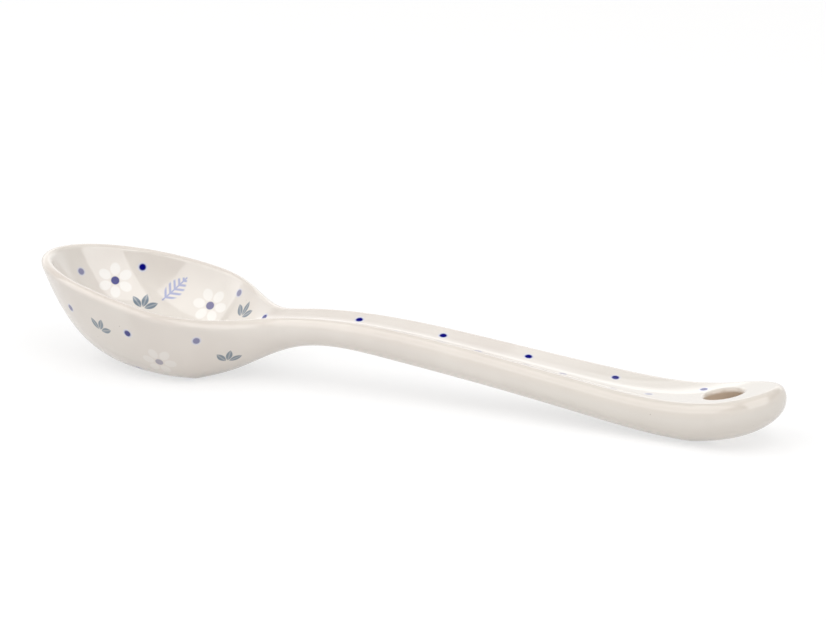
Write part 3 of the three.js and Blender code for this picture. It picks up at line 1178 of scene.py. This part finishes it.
class Shader:
    """A node tree of a material or of the world, emptied and built from expressions."""

    def __init__(self, owner: Any, output: str = "ShaderNodeOutputMaterial") -> None:
        """Starts on a material or a world whose tree ends in the given output node.

        Args:
            owner: The material or the world.
            output: Type of the node that the tree ends in.
        """
        owner.use_nodes = True
        self.tree = owner.node_tree
        self.tree.nodes.clear()
        self.end = self.tree.nodes.new(output)

    def add(
        self,
        kind: str,
        settings: Mapping[str, Any] | None = None,
        inputs: Mapping[Any, Value] | None = None,
        output: int | str = 0,
    ) -> Wire:
        """Makes a node.

        Args:
            kind: The node's type.
            settings: The node's own settings, set first.
            inputs: Values or links of its sockets, by name or number.
            output: The socket to return.

        Returns:
            One of the node's outputs.
        """
        node = self.tree.nodes.new(kind)
        for name, setting in (settings or {}).items():
            setattr(node, name, setting)
        for name, value in (inputs or {}).items():
            if isinstance(value, Wire):
                self.tree.links.new(value.socket, node.inputs[name])
            else:
                node.inputs[name].default_value = value
        return Wire(self, node.outputs[output])

    def finish(self, surface: Wire) -> None:
        """Links a shader to the tree's output."""
        self.tree.links.new(surface.socket, self.end.inputs["Surface"])

    def place(self) -> Wire:
        """Object coordinates, in metres."""
        return self.add("ShaderNodeTexCoord", output="Object")

    def attribute(self, name: str, output: str = "Fac") -> Wire:
        """A mesh attribute."""
        return self.add("ShaderNodeAttribute", {"attribute_name": name}, output=output)

    def blend(self, share: Value, first: Value, second: Value) -> Wire:
        """Colour that lies a share of the way from the first to the second."""
        return self.add("ShaderNodeMix", {"data_type": "RGBA"}, {0: share, 6: first, 7: second}, output=2)

    def noise(self, place: Wire, size: float, detail: float = 2.0) -> Wire:
        """Noise whose features are about size metres across."""
        settings = {"Vector": place, "Scale": 1.0 / size, "Detail": detail}
        return self.add("ShaderNodeTexNoise", inputs=settings)


@dataclass(frozen=True)
class StampPaint:
    """Colours and shapes of the stamps under the glaze. Lengths are shares of a print's radius."""

    cobalt: Colour = srgb(10, 10, 118)
    bleed: Colour = srgb(200, 207, 236)
    white: Colour = srgb(246, 246, 244)
    slate: Colour = srgb(112, 128, 142)
    mist: Colour = srgb(142, 152, 198)
    dot_edge: Band = (1.12, 0.68)
    halo_edge: Band = (1.5, 0.9)
    halo_cover: float = 0.7
    fray: float = 0.1  # how far a dot's edge wanders
    fray_size: float = 0.0007  # metres from one wander to the next
    petals: int = 6
    petal_middle: float = 0.62
    petal_length: float = 0.34  # half of it, as of the width
    petal_width: float = 0.27
    petal_edge: Band = (1.25, 0.6)
    petal_cover: Band = (0.12, 0.48)  # of the faintest print and of the strongest
    printed: Band = (0.0, 0.1)  # tones over which a blossom's petals appear
    pip_edge: Band = (0.25, 0.19)  # of the blossom's cobalt middle
    leaf_angle: float = 52.0  # degrees from one leaf to the next
    leaf_middle: float = 0.55
    leaf_length: float = 0.45  # half of it, as of the width
    leaf_width: float = 0.21
    leaf_edge: Band = (-0.015, 0.05)
    leaf_cover: Band = (0.7, 0.95)  # on the vein and beside it
    vein_edge: Band = (0.03, 0.06)
    frond_pitch: float = 0.34
    frond_slant: float = 0.8
    frond_reach: float = 0.52
    frond_edge: Band = (0.115, 0.05)
    frond_end: Band = (-0.02, 0.12)
    stem_edge: Band = (0.06, 0.03)
    stem_end: Band = (0.98, 0.9)
    fern_cover: float = 0.8

    def over(self, shader: Shader, clay: Wire) -> Wire:
        """Lays every stamp over the clay's colour.

        Args:
            shader: The tree to build in.
            clay: The colour underneath.

        Returns:
            The decorated colour.
        """
        place = shader.attribute("print", "Vector")
        parts = shader.add("ShaderNodeSeparateXYZ", inputs={"Vector": place})
        along, across, motif = parts, parts.output("Y"), parts.output("Z")
        tone = shader.attribute("tone")
        radius = (along * along + across * across) ** 0.5
        angle = across.math("ARCTAN2", along)
        wander = shader.noise(shader.place(), self.fray_size, detail=1.0) - NOISE_MEAN
        frayed = radius + self.fray * wander
        colour = self.lay_blossom(shader, clay, radius, angle, motif.is_near(Motif.BLOSSOM) * tone)
        colour = self.lay_leaves(shader, colour, radius, angle, motif.is_near(Motif.LEAVES))
        colour = self.lay_sprig(shader, colour, along, across, motif.is_near(Motif.SPRIG))
        return self.lay_dot(shader, colour, frayed, motif.is_near(Motif.DOT) * tone)

    def lay_dot(self, shader: Shader, under: Wire, radius: Wire, strength: Wire) -> Wire:
        """A round cobalt dot with a faint bleed round it."""
        halo = shader.blend(radius.step(*self.halo_edge) * strength * self.halo_cover, under, self.bleed)
        return shader.blend(radius.step(*self.dot_edge) * strength, halo, self.cobalt)

    def lay_blossom(self, shader: Shader, under: Wire, radius: Wire, angle: Wire, strength: Wire) -> Wire:
        """Round white petals about a cobalt middle.

        The angle is folded onto one petal, which is the ellipse (out / length)^2 + (side / width)^2 < 1.

        Args:
            shader: The tree to build in.
            under: The colour underneath.
            radius: Distance from the print's middle.
            angle: Direction from the print's middle.
            strength: Tone of the print, 0 where it isn't a blossom.

        Returns:
            The colour with the blossoms on it.
        """
        fold = 2.0 * math.pi / self.petals
        within = angle - (angle / fold).math("ROUND") * fold
        out = radius * within.math("COSINE") - self.petal_middle
        side = radius * within.math("SINE")
        squares = (out / self.petal_length) ** 2.0 + (side / self.petal_width) ** 2.0
        petal = squares.step(*self.petal_edge) * mix(*self.petal_cover, strength)
        white = shader.blend(petal, under, self.white)
        petals = shader.blend(strength.step(*self.printed), under, white)
        return shader.blend(radius.step(*self.pip_edge) * strength, petals, self.cobalt)

    def lay_leaves(self, shader: Shader, under: Wire, radius: Wire, angle: Wire, strength: Wire) -> Wire:
        """Three pointed leaves in a fan, each with a paler vein.

        The angle is folded onto one leaf, which is |side| < width * (1 - out^2), with out from -1 at its
        foot to 1 at its point.

        Args:
            shader: The tree to build in.
            under: The colour underneath.
            radius: Distance from the print's middle.
            angle: Direction from the print's middle.
            strength: 1 on a print of leaves, else 0.

        Returns:
            The colour with the leaves on it.
        """
        fold = math.radians(self.leaf_angle)
        number = (angle / fold).math("ROUND").math("MINIMUM", 1.0).math("MAXIMUM", -1.0)
        within = angle - number * fold
        out = (radius * within.math("COSINE") - self.leaf_middle) / self.leaf_length
        side = abs(radius * within.math("SINE"))
        leaf = (self.leaf_width * (1.0 - out * out) - side).step(*self.leaf_edge)
        cover = mix(*self.leaf_cover, side.step(*self.vein_edge))
        return shader.blend(leaf * cover * strength, under, self.slate)

    def lay_sprig(self, shader: Shader, under: Wire, along: Wire, across: Wire, strength: Wire) -> Wire:
        """A fern sprig: slanting fronds on a stem.

        The line along - slant * |across| is folded onto one frond. The fronds end at the sprig's outline,
        which is |across| < reach * (1 - along^2).

        Args:
            shader: The tree to build in.
            under: The colour underneath.
            along: Place along the stem.
            across: Place across it.
            strength: 1 on a print of a sprig, else 0.

        Returns:
            The colour with the sprigs on it.
        """
        side = abs(across)
        slant = along - self.frond_slant * side
        within = slant - (slant / self.frond_pitch).math("ROUND") * self.frond_pitch
        outline = self.frond_reach * (1.0 - along * along)
        frond = abs(within).step(*self.frond_edge) * (outline - side).step(*self.frond_end)
        stem = side.step(*self.stem_edge) * abs(along).step(*self.stem_end)
        return shader.blend(frond.math("MAXIMUM", stem) * strength * self.fern_cover, under, self.mist)


@dataclass(frozen=True)
class Glaze:
    """Clear glossy glaze over cream stoneware: faintly mottled, with iron specks, sanded flats rubbed to
    the clay, and painted shade in the eye.
    """

    name: str
    paint: StampPaint
    cream: Colour = srgb(222, 215, 208)
    pale: Colour = srgb(227, 221, 214)
    ash: Colour = srgb(219, 214, 206)
    # Colour of glaze thinned on the rim, also laid in the eye as painted shade.
    thin_glaze_and_shade: Colour = srgb(186, 158, 128)
    iron: Colour = srgb(120, 88, 62)
    biscuit: Colour = srgb(206, 190, 168)
    drift_size: float = 0.045  # sizes and heights in metres
    drift_band: Band = (0.42, 0.62)
    drift_share: float = 0.6
    mottle_size: float = 0.014
    mottle_band: Band = (0.35, 0.65)
    speck_size: float = 0.0042
    speck_edge: Band = (0.045, 0.02)
    speck_share: float = 0.5
    ripple_size: float = 0.007
    ripple_height: float = 0.000012
    grit_size: float = 0.0004
    flat_band: Band = (0.00006, 0.00002)  # heights above which glaze and below which sanded clay shows
    thin_glaze_and_shade_share: float = 0.12  # how much of the colour of glaze thinned on the rim shows there; the eye takes it several times over as painted shade
    gloss_roughness: float = 0.045
    mottle_roughness: float = 0.02  # added to it in the mottling
    sanded_roughness: float = 0.6  # added to it on the flats
    refraction: float = 1.75

    def material(self) -> Any:
        """The finish as a material.

        Returns:
            The material.
        """
        made = bpy.data.materials.new(self.name)
        shader = Shader(made)
        place = shader.place()
        mottle = shader.noise(place, self.mottle_size).step(*self.mottle_band)
        body = shader.blend(mottle, self.cream, self.pale)
        drift = shader.noise(place, self.drift_size, detail=1.0).step(*self.drift_band)
        body = shader.blend(drift * self.drift_share, body, self.ash)
        # Glaze thinning on the rim, and painted shade on the eye's wall and rounding.
        body = shader.blend(shader.attribute("thin_glaze_and_shade") * self.thin_glaze_and_shade_share, body, self.thin_glaze_and_shade)
        cells = shader.add("ShaderNodeTexVoronoi", inputs={"Vector": place, "Scale": 1.0 / self.speck_size})
        speck = cells.step(*self.speck_edge) * self.speck_share
        body = shader.blend(speck, body, self.iron)
        coloured = self.paint.over(shader, body)
        level = shader.add("ShaderNodeSeparateXYZ", inputs={"Vector": place}).output("Z")
        sanded = level.step(*self.flat_band)
        grit = shader.noise(place, self.grit_size, detail=3.0)
        ripple = shader.noise(place, self.ripple_size, detail=1.0)
        bump = shader.add(
            "ShaderNodeBump",
            inputs={"Strength": 1.0, "Distance": self.ripple_height, "Height": ripple + sanded * grit},
        )
        gloss = self.gloss_roughness + self.mottle_roughness * mottle
        surface = shader.add(
            "ShaderNodeBsdfPrincipled",
            inputs={
                "Base Color": shader.blend(sanded, coloured, self.biscuit),
                "Roughness": gloss + self.sanded_roughness * sanded,
                "IOR": self.refraction,
                "Normal": bump,
            },
        )
        shader.finish(surface)
        return made


@dataclass(frozen=True)
class BareClay:
    """Fired clay without glaze, on the faces inside the joint."""

    name: str = "bare_clay"
    buff: Colour = srgb(205, 190, 168)
    dark: Colour = srgb(188, 170, 146)
    grain_size: float = 0.0008
    grain_height: float = 0.0001
    grain_strength: float = 0.5
    roughness: Band = (0.7, 0.9)

    def material(self) -> Any:
        """The finish as a material.

        Returns:
            The material.
        """
        made = bpy.data.materials.new(self.name)
        shader = Shader(made)
        grain = shader.noise(shader.place(), self.grain_size, detail=4.0)
        bump = shader.add(
            "ShaderNodeBump",
            inputs={"Strength": self.grain_strength, "Distance": self.grain_height, "Height": grain},
        )
        colour = shader.blend(grain, self.buff, self.dark)
        surface = shader.add(
            "ShaderNodeBsdfPrincipled",
            inputs={"Base Color": colour, "Roughness": mix(*self.roughness, grain), "Normal": bump},
        )
        shader.finish(surface)
        return made


@dataclass(frozen=True)
class Softbox:
    """A large soft lamp: where it hangs as seen from the spoon, its size in metres and its power."""

    name: str
    azimuth: float
    elevation: float
    distance: float
    width: float
    height: float
    watts: float
    mirrored: bool = True  # whether the glaze shows its reflection

    def hang(self, target: Vector) -> None:
        """Makes the lamp and turns it to the target.

        Args:
            target: Place that the lamp lights.
        """
        lamp = bpy.data.lights.new(self.name, "AREA")
        lamp.shape = "RECTANGLE"
        lamp.size = self.width
        lamp.size_y = self.height
        lamp.energy = self.watts
        held = link(self.name, lamp)
        stand_off(held, target, self.azimuth, self.elevation, self.distance)
        held.visible_camera = False
        held.visible_glossy = self.mirrored


@dataclass(frozen=True)
class Studio:
    """Pale floor, soft light and the camera at the photograph's viewing angle."""

    azimuth: float = -65.626
    elevation: float = 16.5
    distance: float = 0.8816
    aim: tuple[float, float, float] = (0.00195, 0.0, 0.01808)
    focal_pixels: float = 4457.4
    image_width: int = 826
    sensor_mm: float = 36.0
    clip: Band = (0.01, 100.0)  # nearest and farthest distance that the camera sees
    floor_size: float = 6.0
    floor_gap: float = 0.00002  # keeps the floor off the spoon's flats
    floor_white: Colour = srgb(248, 247, 246)
    floor_bounce: Colour = srgb(230, 228, 226)
    floor_glow: float = 0.68
    fill: float = 0.58
    horizon: Band = (0.5, 0.3)  # sines of the elevations at which the white begins and is full
    softboxes: tuple[Softbox, ...] = (
        Softbox("softbox_right", -29.0, 40.0, 1.0, 0.86, 1.05, 4.5),
        Softbox("softbox_left", -137.0, 42.0, 1.0, 1.36, 0.9, 5.3),
        Softbox("softbox_top", 0.0, 89.0, 1.0, 1.4, 1.4, 5.3, mirrored=False),
        Softbox("strip_back", 114.4, 27.0, 1.6, 2.4, 0.7, 3.2),
    )

    def camera(self) -> None:
        """Makes the camera."""
        seen = bpy.data.cameras.new("camera")
        seen.sensor_fit = "HORIZONTAL"
        seen.sensor_width = self.sensor_mm
        seen.lens = self.focal_pixels / self.image_width * self.sensor_mm
        seen.clip_start, seen.clip_end = self.clip
        held = link("camera", seen)
        stand_off(held, Vector(self.aim), self.azimuth, self.elevation, self.distance)
        bpy.context.scene.camera = held

    def floor(self) -> None:
        """Makes the floor: white to the eye and to reflections, with the spoon's shadow on it."""
        half = self.floor_size / 2.0
        mesh = bpy.data.meshes.new("floor")
        z = -self.floor_gap
        corners = [(-half, -half, z), (half, -half, z), (half, half, z), (-half, half, z)]
        mesh.from_pydata(corners, [], [(0, 1, 2, 3)])
        made = bpy.data.materials.new("floor_paper")
        shader = Shader(made)
        seen = self.seen_directly(shader)
        white = shader.blend(seen, self.floor_bounce, self.floor_white)
        paper = shader.add("ShaderNodeBsdfDiffuse", inputs={"Color": white})
        glow = shader.add("ShaderNodeEmission", inputs={"Color": WHITE, "Strength": 1.0})
        parts = {0: seen * self.floor_glow, 1: paper, 2: glow}
        shader.finish(shader.add("ShaderNodeMixShader", inputs=parts))
        mesh.materials.append(made)
        laid = link("floor", mesh)

    def world(self) -> None:
        """Makes the surroundings.

        Near the horizon they are white to the eye and to reflections. To all other rays they are a fill
        that grows with the sine of the elevation.
        """
        sky = bpy.data.worlds.new("studio")
        bpy.context.scene.world = sky
        shader = Shader(sky, "ShaderNodeOutputWorld")
        height = shader.add("ShaderNodeSeparateXYZ", inputs={"Vector": shader.place()}).output("Z")
        fill = self.fill * height.math("MAXIMUM", 0.0)
        horizon = height.step(*self.horizon)
        strength = fill + (horizon - fill) * self.seen_directly(shader)
        white = {"Color": WHITE, "Strength": strength}
        shader.finish(shader.add("ShaderNodeBackground", inputs=white))

    @staticmethod
    def seen_directly(shader: Shader) -> Wire:
        """1 for rays from the camera and for mirrored or refracted ones, else 0.

        Args:
            shader: The tree to build in.

        Returns:
            The mask.
        """
        path = shader.add("ShaderNodeLightPath", output="Is Camera Ray")
        mirrored = path.output("Is Glossy Ray").math("MAXIMUM", path.output("Is Transmission Ray"))
        return path.math("MAXIMUM", mirrored)

    def build(self) -> None:
        """Makes the whole set."""
        bpy.context.scene.view_settings.view_transform = "Standard"
        self.camera()
        self.floor()
        self.world()
        for softbox in self.softboxes:
            softbox.hang(Vector(self.aim))


def main() -> None:
    """Builds the studio, then the spoon's three pieces with their finishes."""
    logging.basicConfig(level=logging.INFO)
    Studio().build()
    form = SpoonForm()
    surface = ClaySurface(form, Grain())
    pieces = [Bowl(surface), Slip(surface), Handle(surface)]
    shells = [piece.skin().weld() for piece in pieces]
    stamps = Decoration(form)
    finishes = [Glaze("glaze", StampPaint()).material(), BareClay().material()]
    for piece, shell, normals in zip(pieces, shells, shared_normals(shells)):
        piece.build(shell, normals, stamps, finishes)


if __name__ == "__main__":
    main()
